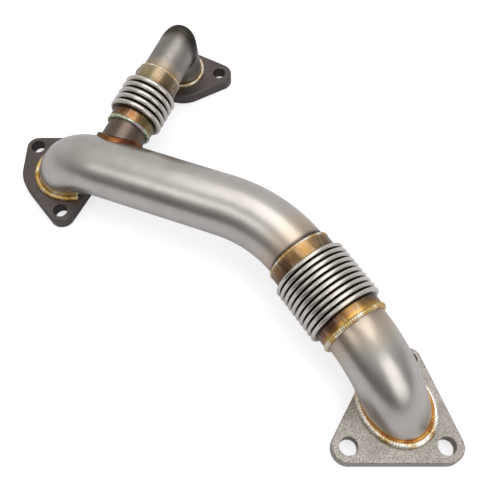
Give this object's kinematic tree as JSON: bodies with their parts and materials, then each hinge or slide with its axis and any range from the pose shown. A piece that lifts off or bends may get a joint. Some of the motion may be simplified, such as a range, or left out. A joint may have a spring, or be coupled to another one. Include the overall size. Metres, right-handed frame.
{
  "type": "turbo up-pipe",
  "caption": "Bent stainless turbo up-pipe: main tube and side branch, each with a bellows, ending on flat bolted flanges.",
  "frame": {"origin": "centre of the outlet port on the outlet flange's sealing face", "axes": "+Z away from the three sealing faces, which all lie on z = 0; X along the bolt rows of the flanges; the main run goes towards -X and +Y"},
  "size_m": [0.3647, 0.3937, 0.0837],
  "materials": {
    "tube": "satin stainless tube",
    "bellows": "bright formed stainless",
    "collar": "straw to bronze heat tint",
    "weld": "gold rippled weld bead",
    "outlet_plate": "raw sawn plate",
    "dark_plate": "dark scaled plate",
    "liner": "plain sheet sleeve"
  },
  "bodies": {
    "root": {"outlet_flange": "outlet_plate", "outlet_flange_weld": "weld", "lower_elbow": "tube", "lower_elbow_weld": "weld", "main_bellows_lower_collar": "collar", "main_bellows": "bellows", "main_bellows_liner": "liner", "main_bellows_upper_collar": "collar", "main_pipe_weld": "weld", "main_pipe": "tube", "inlet_flange": "dark_plate", "inlet_flange_weld": "weld", "branch_stub": "tube", "branch_saddle_weld": "weld", "branch_stub_weld": "weld", "branch_bellows_lower_collar": "collar", "branch_bellows": "bellows", "branch_bellows_liner": "liner", "branch_bellows_upper_collar": "collar", "branch_elbow_weld": "weld", "branch_elbow": "tube", "branch_flange_weld": "weld", "branch_flange": "dark_plate"}
  },
  "joints": []
}
